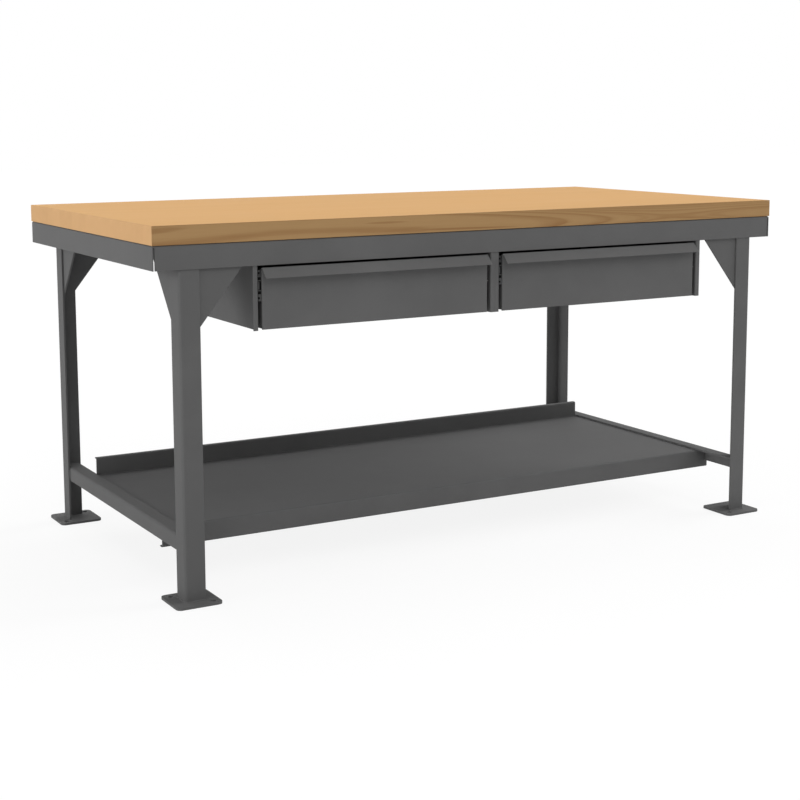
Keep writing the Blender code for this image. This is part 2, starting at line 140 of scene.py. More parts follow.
class Tree:
    """A node tree with short calls that add nodes and join their sockets."""

    def __init__(self, tree: NodeTree) -> None:
        """Holds the tree that the calls add to."""
        self.tree = tree

    def feed(self, node: Node, inputs: Inputs) -> None:
        """Joins a node's inputs to other nodes' values, or gives them plain ones.

        Args:
            node: the node.
            inputs: values by the input's name or number; plain colours have three parts.
        """
        for key, value in inputs.items():
            socket = node.inputs[key]
            if isinstance(value, Value):
                self.tree.links.new(value.socket, socket)
            else:
                socket.default_value = (*value, 1.0) if socket.type == "RGBA" else value

    def node(self, kind: str, inputs: Inputs | None = None, **settings: object) -> Node:
        """Adds a node.

        Args:
            kind: the node's type name.
            inputs: what feeds its inputs, by the input's name or number.
            settings: the node's own properties.

        Returns:
            The new node.
        """
        made = self.tree.nodes.new(kind)
        for name, value in settings.items():
            setattr(made, name, value)
        self.feed(made, inputs or {})
        return made

    def outputs(self, node: Node) -> dict[str, Value]:
        """A node's outputs by name."""
        return {socket.name: Value(self, socket) for socket in node.outputs}

    def value(
        self, kind: str, inputs: Inputs | None = None, output: str | int = 0, **settings: object
    ) -> Value:
        """Adds a node and gives one of its outputs, by name or number."""
        return Value(self, self.node(kind, inputs, **settings).outputs[output])

    def place(self) -> Value:
        """The point being shaded, in the frame's own metres."""
        return self.value("ShaderNodeTexCoord", output="Object")

    def normal(self) -> Value:
        """The surface's own normal there."""
        return self.value("ShaderNodeNewGeometry", output="Normal")

    def parts(self, vector: Feed) -> tuple[Value, ...]:
        """The X, Y and Z of a vector."""
        return tuple(self.outputs(self.node("ShaderNodeSeparateXYZ", {0: vector})).values())

    def stretch(self, vector: Feed, factors: Feed) -> Value:
        """A vector with each part multiplied by its own factor."""
        return self.value("ShaderNodeVectorMath", {0: vector, 1: factors}, operation="MULTIPLY")

    def noise(self, vector: Feed, scale: float, detail: float = 2.0, roughness: float = 0.5) -> Value:
        """Smooth noise from 0 to 1 at a scale given in features per metre."""
        inputs = {"Vector": vector, "Scale": scale, "Detail": detail, "Roughness": roughness}
        return self.value("ShaderNodeTexNoise", inputs)

    def ramp(self, value: Feed, start: float, stop: float, low: float = 0.0, high: float = 1.0) -> Value:
        """A smooth step from low to high while the value goes from start to stop."""
        inputs = {0: value, 1: start, 2: stop, 3: low, 4: high}
        return self.value("ShaderNodeMapRange", inputs, interpolation_type="SMOOTHSTEP")

    def stops(self, value: Value, stops: Sequence[Pair]) -> Value:
        """A result that eases from stop to stop along a value.

        Args:
            value: the value.
            stops: rising places on the value, each with the result there; at most 32.

        Returns:
            The result.
        """
        first, last = stops[0][0], stops[-1][0]
        made = self.node("ShaderNodeValToRGB", {0: (value - first) / (last - first)})
        band = made.color_ramp
        band.interpolation = "EASE"
        for place, _ in stops[1:-1]:
            band.elements.new((place - first) / (last - first))
        for element, (_, result) in zip(band.elements, stops):
            element.color = (result, result, result, 1.0)
        return Value(self, made.outputs["Color"])

    def blend(self, share: Feed, first: Feed, second: Feed) -> Value:
        """A colour that goes from the first to the second with the share."""
        return self.value("ShaderNodeMix", {0: share, 6: first, 7: second}, 2, data_type="RGBA")

    def bump(self, relief: Feed, normal: Feed, strength: float, depth: float) -> Value:
        """A normal, bent by a relief of a depth in metres, with a strength from 0 to 1."""
        inputs = {"Height": relief, "Normal": normal, "Strength": strength, "Distance": depth}
        return self.value("ShaderNodeBump", inputs)

    def use(self, group: NodeTree, inputs: Inputs) -> dict[str, Value]:
        """Places a node group with its own input values, and gives its outputs by name."""
        return self.outputs(self.node("ShaderNodeGroup", inputs, node_tree=group))


class Effects:
    """The effects that several finishes share, each one a node group that is built once."""

    def __init__(self) -> None:
        """Builds the groups."""
        self.edges = self._edges()
        self.streaks = self._streaks()
        self.dust = self._dust()

    @staticmethod
    def _group(
        name: str, inputs: Mapping[str, str], outputs: Mapping[str, str]
    ) -> tuple[Tree, dict[str, Value], Node]:
        """Starts a node group.

        Args:
            name: the group's name.
            inputs: the kind of each input socket, by name.
            outputs: the kind of each output socket, by name.

        Returns:
            The group's tree, its inputs by name, and its output node.
        """
        group = bpy.data.node_groups.new(name, "ShaderNodeTree")
        for direction, sockets in (("INPUT", inputs), ("OUTPUT", outputs)):
            for socket, kind in sockets.items():
                group.interface.new_socket(socket, in_out=direction, socket_type="NodeSocket" + kind)
        tree = Tree(group)
        return tree, tree.outputs(tree.node("NodeGroupInput")), tree.node("NodeGroupOutput")

    def _edges(self) -> NodeTree:
        """Softened edges: a normal that rounds every edge, and a mask that is 1 along the edges.

        The mask rises as the cosine between the rounded normal and the true one falls, and noise
        breaks it up.

        Returns:
            The group.
        """
        inputs = {"Place": "Vector", "Radius": "Float"}
        tree, given, end = self._group("softened_edges", inputs, {"Normal": "Vector", "Edge": "Float"})
        rounded = tree.value("ShaderNodeBevel", {"Radius": given["Radius"]}, samples=6)
        normals = {0: rounded, 1: tree.normal()}
        cosine = tree.value("ShaderNodeVectorMath", normals, "Value", operation="DOT_PRODUCT")
        broken = tree.ramp(tree.noise(given["Place"], 90.0, 4.0), 0.25, 0.7, 0.35, 1.0)
        tree.feed(end, {"Normal": rounded, "Edge": tree.ramp(cosine, 0.995, 0.86) * broken})
        return tree.tree

    def _streaks(self) -> NodeTree:
        """Long streaks, coarse and fine: noise on a place that is pressed together along one axis.

        Returns:
            The group.
        """
        inputs = {"Place": "Vector", "Stretch": "Vector"}
        tree, given, end = self._group("streaks", inputs, {"Coarse": "Float", "Fine": "Float"})
        drawn = tree.stretch(given["Place"], given["Stretch"])
        coarse, fine = tree.noise(drawn, 40.0, 3.0, 0.55), tree.noise(drawn, 320.0, 3.0, 0.6)
        tree.feed(end, {"Coarse": coarse, "Fine": fine})
        return tree.tree

    def _dust(self) -> NodeTree:
        """Fine dust: a mask on faces that look up, patchy at the scale of a hand.

        Returns:
            The group.
        """
        tree, given, end = self._group("dust", {"Place": "Vector"}, {"Mask": "Float"})
        _, _, upward = tree.parts(tree.normal())
        patches = tree.ramp(tree.noise(given["Place"], 5.0, 6.0, 0.6), 0.35, 0.75)
        specks = tree.ramp(tree.noise(given["Place"], 700.0), 0.45, 0.75, 0.5, 1.0)
        tree.feed(end, {"Mask": tree.ramp(upward, 0.6, 0.98) * patches * specks})
        return tree.tree


def new_surface(name: str) -> tuple[Material, Tree, Node]:
    """Starts a material.

    Args:
        name: the material's name.

    Returns:
        The material, its tree and its Principled shader.
    """
    material = bpy.data.materials.new(name)
    material.use_nodes = True
    return material, Tree(material.node_tree), material.node_tree.nodes["Principled BSDF"]


@dataclass(frozen=True)
class Finish(ABC):
    """A finish of the bench's pieces."""

    name: str

    @abstractmethod
    def inputs(self, tree: Tree, effects: Effects) -> Inputs:
        """Adds the finish's nodes to a tree.

        Args:
            tree: the tree to add to.
            effects: the shared groups.

        Returns:
            What feeds the shader's inputs, by name.
        """

    def material(self, effects: Effects) -> Material:
        """Builds the finish.

        Args:
            effects: the shared groups.

        Returns:
            The material.
        """
        material, tree, shader = new_surface(self.name)
        tree.feed(shader, self.inputs(tree, effects))
        return material


@dataclass(frozen=True)
class Maple(Finish):
    """Sealed maple, glued up from staves: pale and plain on top, figured along its long edges."""

    name: str = "sealed_maple"
    light: Triple = (0.672, 0.400, 0.177)
    dark: Triple = (0.575, 0.330, 0.142)
    end_light: Triple = (0.638, 0.388, 0.191)
    end_dark: Triple = (0.500, 0.288, 0.134)
    edge_light: Triple = (0.403, 0.249, 0.114)
    edge_dark: Triple = (0.300, 0.164, 0.070)
    dust: Triple = (0.72, 0.66, 0.58)
    edge_radius: float = 0.0016
    gloss: float = 0.03
    half_length: float = 0.9145
    half_depth: float = 0.457
    rim: Pair = (0.0014, 0.0006)  # in from an outer face, where its colour begins and where it is full
    stave: float = 0.0508
    underside: float = 0.8385
    thickness: float = 0.0445
    axis: tuple[Step, ...] = (
        (-0.95, -0.58, -0.02, 0.38),
        (-0.55, -0.10, 0.00, -0.22),
        (0.00, 0.25, 0.00, 0.12),
    )  # height of the arches' middle line, as steps along the edge
    swells: tuple[Step, ...] = (
        (-0.28, 0.58, 1.90, 0.12),
        (0.50, 0.92, 0.00, 0.22),
    )  # how far the arches have closed, as steps along the edge
    tones: tuple[Pair, ...] = (
        *((-2.02, 0.60), (-1.91, 0.95), (-1.87, 0.65), (-1.83, 0.25), (-1.75, 0.10), (-1.12, 0.08)),
        *((-0.98, 0.45), (-0.86, 0.85), (-0.82, 0.95), (-0.78, 0.30), (-0.73, 0.05), (-0.58, 0.12)),
        *((-0.48, 0.60), (-0.42, 0.95), (-0.38, 0.30), (-0.34, 0.05), (-0.27, 0.20), (-0.21, 0.60)),
        *((-0.18, 0.35), (-0.12, 0.90), (-0.08, 0.25), (-0.04, 0.05), (0.03, 0.30), (0.10, 0.80)),
        *((0.14, 0.25), (0.20, 0.08), (0.28, 0.30), (0.34, 0.65), (0.38, 0.15), (0.50, 0.25)),
        *((0.56, 0.55), (0.90, 0.20)),
    )  # how dark the wood is at each level of the figure
    flecks: tuple[tuple[float, ...], ...] = (
        (-0.315, 0.66, 0.075, 0.08, 0.0),
        (-0.93, 0.70, 0.13, 0.20, 1.4),
        (-0.12, 0.15, 0.23, 0.08, -0.25),
    )  # place along the edge, height, half length, half height and slope of each

    @staticmethod
    def _steps(tree: Tree, along: Value, steps: Sequence[Step]) -> Value:
        """The sum of smooth steps along the edge: start and end of each, and the values there."""
        ramps = [tree.ramp(along, *step) for step in steps]
        return sum(ramps[1:], ramps[0])

    def _figure(self, tree: Tree, place: Value) -> Value:
        """The year rings that the long edges cut across, 0 pale to 1 dark.

        The level of a point is (h - m(x))^2 / (1 - m)^2 - g(x), where h is its height in the slab as a
        share of the thickness, m the height of the arches' middle line and g how far they have closed,
        both sums of smooth steps along the slab. Points of one level lie on one ring, so the rings run
        level and close in long pointed arches. Noise bends the level, a row of stops gives each level
        its tone, and ellipses add the flecks. The back edge shows the figure from its own left.

        Args:
            tree: the tree to add to.
            place: the shaded point.

        Returns:
            How dark the point is.
        """
        x, y, z = tree.parts(place)
        along = x * y.apply("SIGN") * -1.0
        height = (z - self.underside) / self.thickness
        middle = self._steps(tree, along, self.axis)
        away = (height - middle) / (middle * -1.0 + 1.0)
        level = away * away - self._steps(tree, along, self.swells)
        bent = tree.noise(tree.stretch(place, (2.2, 9.0, 16.0)), 1.6, 3.0, 0.55) - 0.5
        rings = tree.stops(level + bent * 0.12, self.tones)

        for start, rise, half_length, half_height, slope in self.flecks:
            beside = along - start
            above = (height - beside * slope - rise) / half_height
            beside = beside / half_length
            fleck = tree.ramp(beside * beside + above * above, 0.1, 1.0, 0.9, 0.0)
            rings = rings.apply("MAXIMUM", fleck)
        return rings

    def _face(self, tree: Tree, reach: Value, half: float) -> Value:
        """1 on the two faces that lie half a length away from the middle, 0 elsewhere."""
        start, full = self.rim
        return tree.ramp(reach.apply("ABSOLUTE"), half - start, half - full)

    def inputs(self, tree: Tree, effects: Effects) -> Inputs:
        """Grain and staves on top, year rings on the long edges, pores on the ends, and dust.

        Args:
            tree: the tree to add to.
            effects: the shared groups.

        Returns:
            What feeds the shader's inputs, by name.
        """
        place = tree.place()
        along, across, _ = tree.parts(place)
        fibre = tree.use(effects.streaks, {"Place": place, "Stretch": (0.035, 1.0, 1.0)})
        flames = tree.noise(tree.stretch(place, (2.4, 30.0, 34.0)), 1.5, 3.0, 0.55)
        number = (across / self.stave).apply("FLOOR")
        chance = tree.value("ShaderNodeTexWhiteNoise", {"W": number}, "Value", noise_dimensions="1D")
        pores = tree.value("ShaderNodeTexVoronoi", {"Vector": place, "Scale": 900.0}, "Distance")
        eased = tree.use(effects.edges, {"Place": place, "Radius": self.edge_radius})
        dust = tree.use(effects.dust, {"Place": place})["Mask"]

        grain = fibre["Coarse"] * 0.7 + fibre["Fine"] * 0.3
        plain = (grain - 0.25) * 0.3 + chance * 0.07
        top = tree.blend(plain, self.light, self.dark)
        rings = self._figure(tree, place) * tree.ramp(flames, 0.3, 0.65, 0.7, 1.0)
        edge = tree.blend(rings + (grain - 0.5) * 0.9, self.edge_light, self.edge_dark)
        end_grain = tree.ramp(pores, 0.1, 0.6) * -0.12 + plain + chance * 0.12
        end = tree.blend(end_grain, self.end_light, self.end_dark)
        colour = tree.blend(self._face(tree, across, self.half_depth), top, edge)
        colour = tree.blend(self._face(tree, along, self.half_length), colour, end)
        colour = tree.blend(dust * 0.05, colour, self.dust)
        return {
            "Base Color": tree.blend(eased["Edge"] * 0.16, colour, self.light),
            "Roughness": tree.ramp(fibre["Coarse"], 0.3, 0.7, 0.70, 0.80) + dust * 0.1,
            "Normal": tree.bump(fibre["Fine"] + rings * 0.35, eased["Normal"], 0.18, 0.0004),
            "Specular IOR Level": self.gloss,
        }


@dataclass(frozen=True)
class Enamel(Finish):
    """Baked enamel on steel: satin, with a faint orange peel and thinner paint on the edges."""

    name: str = "grey_enamel_satin"
    body: Triple = (0.127, 0.127, 0.127)
    thin: Triple = (0.176, 0.176, 0.176)
    dust: Triple = (0.30, 0.29, 0.28)
    mottle: Pair = (0.93, 1.07)  # darkest and lightest clouds, as shares of the body's colour
    edge_radius: float = 0.0011
    gloss: float = 0.05

    def inputs(self, tree: Tree, effects: Effects) -> Inputs:
        """Clouds and grit in the paint, thin edges, and dust, over an orange peel.

        Args:
            tree: the tree to add to.
            effects: the shared groups.

        Returns:
            What feeds the shader's inputs, by name.
        """
        place = tree.place()
        clouds = tree.noise(place, 3.5, 5.0, 0.6)
        peel = tree.noise(place, 520.0, 2.0, 0.45)
        grit = tree.noise(place, 2400.0)
        eased = tree.use(effects.edges, {"Place": place, "Radius": self.edge_radius})
        dust = tree.use(effects.dust, {"Place": place})["Mask"]

        dark, light = (tuple(share * value for value in self.body) for share in self.mottle)
        colour = tree.blend(tree.ramp(clouds, 0.3, 0.7), dark, light)
        colour = tree.blend(tree.ramp(grit, 0.5, 0.8) * 0.10, colour, self.thin)
        colour = tree.blend(eased["Edge"] * 0.5, colour, self.thin)
        rough = tree.ramp(clouds, 0.25, 0.75, 0.54, 0.64) + peel * 0.05
        return {
            "Base Color": tree.blend(dust * 0.06, colour, self.dust),
            "Roughness": rough + dust * 0.1,
            "Normal": tree.bump(peel + grit * 0.2, eased["Normal"], 0.12, 0.0005),
            "Specular IOR Level": self.gloss,
        }


@dataclass(frozen=True)
class Zinc(Finish):
    """Dull zinc plate on rolled steel: drawn streaks along the slides and a faint passivate."""

    name: str = "dull_zinc_plate"
    body: Triple = (0.24, 0.244, 0.248)
    warm: Triple = (0.25, 0.237, 0.21)
    worn: Triple = (0.13, 0.13, 0.134)
    edge_radius: float = 0.0004

    def inputs(self, tree: Tree, effects: Effects) -> Inputs:
        """A warm tint in patches, worn streaks, and dust, on bare metal.

        Args:
            tree: the tree to add to.
            effects: the shared groups.

        Returns:
            What feeds the shader's inputs, by name.
        """
        place = tree.place()
        drawn = tree.use(effects.streaks, {"Place": place, "Stretch": (6.0, 0.12, 6.0)})
        tint = tree.ramp(tree.noise(place, 14.0, 4.0, 0.6), 0.35, 0.75)
        eased = tree.use(effects.edges, {"Place": place, "Radius": self.edge_radius})
        dust = tree.use(effects.dust, {"Place": place})["Mask"]

        colour = tree.blend(tint * 0.45, self.body, self.warm)
        colour = tree.blend(tree.ramp(drawn["Coarse"], 0.45, 0.8, 0.0, 0.5), colour, self.worn)
        return {
            "Base Color": tree.blend(dust * 0.2, colour, self.worn),
            "Metallic": 1.0,
            "Roughness": tree.ramp(drawn["Fine"], 0.25, 0.75, 0.40, 0.56) + tint * 0.06,
            "Normal": tree.bump(drawn["Fine"], eased["Normal"], 0.1, 0.0002),
        }


@dataclass
class Finishes:
    """The bench's finishes, ready to be put on pieces."""

    maple: Material
    enamel: Material
    zinc: Material
    # the last two are near black: painted shade for the slides' front ends in the drawer gaps
    black_zinc: Material
    black_enamel: Material

    @classmethod
    def made(cls) -> Finishes:
        """Builds the shared effects and the materials; the two near-black ones are painted shade on the
        slides' front ends.

        Returns:
            The finishes.
        """
        # dark zinc for the catches and stop clips: painted shade for the slide ends in the drawer gaps
        black_zinc = Zinc(
            "black_zinc_plate", (0.066, 0.067, 0.068), (0.070, 0.066, 0.061), (0.05, 0.05, 0.051)
        )
        # near-black enamel for the end caps: painted shade for the dark inside of the slides' front ends
        black_enamel = Enamel("black_enamel", (0.002,) * 3, (0.004,) * 3, (0.03, 0.029, 0.028))
        kinds = (Maple(), Enamel(), Zinc(), black_zinc, black_enamel)
        effects = Effects()
        return cls(*(kind.material(effects) for kind in kinds))


def placed(name: str, data: ID) -> Object:
    """A new object in the scene.

    Args:
        name: the object's name.
        data: its mesh, light or camera.

    Returns:
        The object.
    """
    made = bpy.data.objects.new(name, data)
    bpy.context.scene.collection.objects.link(made)
    return made


@dataclass
class Shell:
    """A closed surface: points as rows of an array, four-sided faces, and many-sided end faces."""

    points: np.ndarray
    quads: np.ndarray
    caps: list[list[int]]

    @classmethod
    def from_rings(cls, rings: np.ndarray) -> Shell:
        """Closes a stack of rings into a surface.

        The quad at row i and column j lies between rings i and i + 1 and between points j and j + 1,
        where the last point runs on to the first. The rings run anticlockwise about the way they
        are stacked, and one face closes each end.

        Args:
            rings: points by row, column and coordinate.

        Returns:
            The surface.
        """
        rows, sides = rings.shape[:2]
        row, column = np.meshgrid(np.arange(rows - 1), np.arange(sides), indexing="ij")
        here, beside = row * sides + column, row * sides + (column + 1) % sides
        quads = np.stack((here, beside, beside + sides, here + sides), axis=-1).reshape(-1, 4)
        first = np.arange(sides)[::-1].tolist()
        last = np.arange((rows - 1) * sides, rows * sides).tolist()
        return cls(rings.reshape(-1, 3), quads, [first, last])

    @staticmethod
    def together(shells: Sequence[Shell]) -> Shell:
        """Several surfaces held as one.

        Args:
            shells: the surfaces.

        Returns:
            One surface with all their points and faces.
        """
        starts = np.cumsum([0] + [len(shell.points) for shell in shells])
        pairs = list(zip(shells, starts))
        points = np.concatenate([shell.points for shell in shells])
        quads = np.concatenate([shell.quads + start for shell, start in pairs])
        caps = [(np.array(cap) + start).tolist() for shell, start in pairs for cap in shell.caps]
        return Shell(points, quads, caps)

    def repeated(self, offsets: np.ndarray) -> Shell:
        """Copies of the surface, one moved by each row of the offsets."""
        return Shell.together([Shell(self.points + offset, self.quads, self.caps) for offset in offsets])

    def turned(self, turn: Matrix) -> Shell:
        """The surface turned by a rotation matrix."""
        return Shell(self.points @ np.array(turn).T, self.quads, self.caps)

    def piece(self, name: str, material: Material, body: str, slot: Slot) -> None:
        """Makes the surface a piece that rides on a body.

        Args:
            name: the piece's name.
            material: its finish.
            body: the body it moves with.
            slot: the record's slot that its finish belongs to; not used.
        """
        mesh = bpy.data.meshes.new(name)
        mesh.from_pydata(self.points.tolist(), [], self.quads.tolist() + self.caps)
        mesh.materials.append(material)
        mesh.shade_smooth()
        mesh.set_sharp_from_angle(angle=SMOOTH_BELOW)
        mesh.update()
        made = placed(name, mesh)
        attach(made, body)
        LOG.info("built %s on %s, %d faces", name, body, len(mesh.polygons))


def grid(x: np.ndarray | float, y: np.ndarray | float, z: np.ndarray | float) -> np.ndarray:
    """Points from their three coordinates, which are first spread over the same rows and columns."""
    return np.stack(np.broadcast_arrays(x, y, z), axis=-1)


def angles(sides: int) -> np.ndarray:
    """Even angles all the way round, from 0."""
    return np.linspace(0.0, 2 * math.pi, sides, endpoint=False)


def turned_profile(profile: Sequence[Pair] | np.ndarray, sides: int) -> np.ndarray:
    """A profile turned about Z: each row (r, z) becomes the ring (r cos a, r sin a, z).

    Args:
        profile: radius and height of each ring, from the bottom up.
        sides: points in a ring.

    Returns:
        The rings.
    """
    radius, height = np.hsplit(np.array(profile, float), 2)
    angle = angles(sides)
    return grid(radius * np.cos(angle), radius * np.sin(angle), height)


def carried(outline: np.ndarray, run: Pair) -> Shell:
    """A prism along Y: an outline is carried from one end of the run to the other.

    Args:
        outline: X and Z of its points, in order either way round.
        run: Y of the two ends, the lower first.

    Returns:
        The prism.
    """
    x, z = outline.T
    if np.sum(x * np.roll(z, -1) - np.roll(x, -1) * z) > 0:
        x, z = x[::-1], z[::-1]
    return Shell.from_rings(grid(x, np.array(run)[:, None], z))


def channel(web: float, tips: float, half: float, sheet: float, run: Pair, z: float) -> Shell:
    """A thin channel along Y, with the section of a C.

    Args:
        web: X of the web's outer face.
        tips: X of the flanges' tips.
        half: half the height over the flanges.
        sheet: thickness of the metal.
        run: Y of the two ends, the lower first.
        z: height of the middle.

    Returns:
        The channel.
    """
    inner = web + math.copysign(sheet, tips - web)
    x = np.array([web, tips, tips, inner])
    height = np.array([half, half, half - sheet, half - sheet])
    outline = np.column_stack((np.r_[x, x[::-1]], z + np.r_[-height, height[::-1]]))
    return carried(outline, run)


@dataclass(frozen=True)
class WeldBead:
    """A rippled bead, laid along a line where two plates meet."""

    radius: float = 0.0026
    pitch: float = 0.0025
    ripple: float = 0.07
    crescent: float = 1.2
    tip: float = 0.02  # least distance from an end, as a share of the radius
    sides: int = 10
    rows: int = 5  # rings in each ripple
    least_rows: int = 12

    def along(self, line: np.ndarray, up: Triple) -> Shell:
        """Lays the bead along a line.

        A round profile is carried along the line. Its radius is R * end * (1 + ripple * sin(2 pi s /
        pitch + crescent * cos a)), where s is the length along the line, a the angle round the
        profile, and end rounds the bead off within one radius of its ends. The cosine bends each
        ripple into a crescent.

        Args:
            line: the points of the line, in order.
            up: a direction square to the line.

        Returns:
            The bead.
        """
        steps = np.linalg.norm(np.diff(line, axis=0), axis=1)
        lengths = np.concatenate(([0.0], np.cumsum(steps)))
        total = lengths[-1]
        run = np.linspace(0.0, total, max(self.least_rows, int(self.rows * total / self.pitch)))
        path = np.stack([np.interp(run, lengths, line[:, axis]) for axis in range(3)], axis=1)
        along = np.gradient(path, axis=0)
        along /= np.linalg.norm(along, axis=1, keepdims=True)
        side = np.cross(up, along)
        angle = angles(self.sides)
        to_end = np.clip(np.minimum(run, total - run) / self.radius, self.tip, 1.0)
        ends = np.sqrt(1.0 - (1.0 - to_end) ** 2)[:, None]
        phase = 2 * math.pi * run[:, None] / self.pitch + self.crescent * np.cos(angle)
        radius = self.radius * ends * (1.0 + self.ripple * np.sin(phase))
        turned = np.cos(angle)[:, None] * side[:, None] + np.sin(angle)[:, None] * np.array(up)
        return Shell.from_rings(path[:, None] + radius[..., None] * turned)


@dataclass(frozen=True)
class LagScrew:
    """The hexagon head of a lag screw on its washer."""

    across_flats: float = 0.0127
    height: float = 0.0055
    washer: float = 0.0095
    washer_thickness: float = 0.0016
    washer_chamfer: float = 0.0004
    washer_sides: int = 28
    sides: int = 48
    chamfer: Pair = (0.0009, 0.0003)  # how far under the top it begins and turns flatter
    limits: tuple[float, ...] = (2.0, 2.0, 1.07, 0.98)  # largest radius of each ring, in halves of the width

    def head(self) -> Shell:
        """The head, standing up from Z = 0.

        The radius of a ring goes from round to hexagonal: r = h / cos(((a + 30) mod 60) - 30), where
        h is half the width across the flats and a the angle, cut down to a circle at the chamfer.

        Returns:
            The washer and the head.
        """
        low, high = self.washer_thickness, self.washer_thickness + self.height
        rim, flat = self.washer, self.washer - self.washer_chamfer
        under, over = self.washer_chamfer, low - self.washer_chamfer
        profile = [(flat, 0.0), (rim, under), (rim, over), (flat, low)]
        washer = turned_profile(profile, self.washer_sides)
        half, sector = self.across_flats / 2, math.pi / 3
        angle = angles(self.sides)
        hexagon = half / np.cos((angle + sector / 2) % sector - sector / 2)
        radius = np.minimum(hexagon, np.array(self.limits)[:, None] * half)
        height = np.array([low, high - self.chamfer[0], high - self.chamfer[1], high])[:, None]
        head = grid(radius * np.cos(angle), radius * np.sin(angle), height)
        return Shell.together([Shell.from_rings(washer), Shell.from_rings(head)])


@dataclass(frozen=True)
class PanScrew:
    """A pan head screw with a cross recess."""

    radius: float = 0.0038
    height: float = 0.0021
    recess: float = 0.0011
    sides: int = 32
    arm: Pair = (0.6, 0.9)  # |cos 2a| where an arm of the cross begins and where it is deep
    rings: tuple[Triple, ...] = (
        *((1.0, 0.0, 0.0), (1.0, 0.2, 0.0), (0.9, 0.62, 0.0), (0.66, 0.9, 0.0)),
        *((0.6, 0.93, 0.55), (0.4, 0.98, 0.8), (0.22, 1.0, 1.0), (0.1, 1.0, 1.0)),
    )  # radius, height and depth of the recess at each ring, as shares of the greatest

    def head(self) -> Shell:
        """The head, standing up from Z = 0.

        A domed profile is turned, and its inner rings sink by the recess where |cos 2a| is near 1,
        which leaves a cross.

        Returns:
            The head.
        """
        reach, rise, sunk = np.array(self.rings).T
        rings = turned_profile(np.stack((reach * self.radius, rise * self.height), 1), self.sides)
        start, full = self.arm
        arms = np.clip((np.abs(np.cos(2 * angles(self.sides))) - start) / (full - start), 0.0, 1.0)
        depth = sunk[:, None] * arms
        depth[-1] = 1.0
        rings[..., 2] -= self.recess * depth
        return Shell.from_rings(rings)


def ball(radius: float, rows: int = 6, sides: int = 8, pole: float = 0.12) -> Shell:
    """A slide's ball: (R sin b cos a, R sin b sin a, -R cos b), cut flat at both poles.

    Args:
        radius: the radius R.
        rows: rings of points.
        sides: points in a ring.
        pole: the angle b of the first ring, as a share of a half turn.

    Returns:
        The ball.
    """
    tilt = np.linspace(pole * math.pi, (1.0 - pole) * math.pi, rows)
    profile = np.stack((radius * np.sin(tilt), -radius * np.cos(tilt)), axis=1)
    return Shell.from_rings(turned_profile(profile, sides))


@dataclass
class Section(ABC):
    """A section of the bench: it dresses nodes of the frame and adds small hardware to them."""

    nodes: Mapping[str, Object]
    finishes: Finishes

    def dress(self, names: Sequence[str], material: Material) -> None:
        """Gives nodes of the frame their finish.

        Args:
            names: the nodes.
            material: their finish.
        """
        for name in names:
            self.nodes[name].material_slots[0].material = material
            LOG.info("dressed %s in %s", name, material.name)

    @abstractmethod
    def build(self) -> None:
        """Dresses the section's nodes and adds its hardware."""


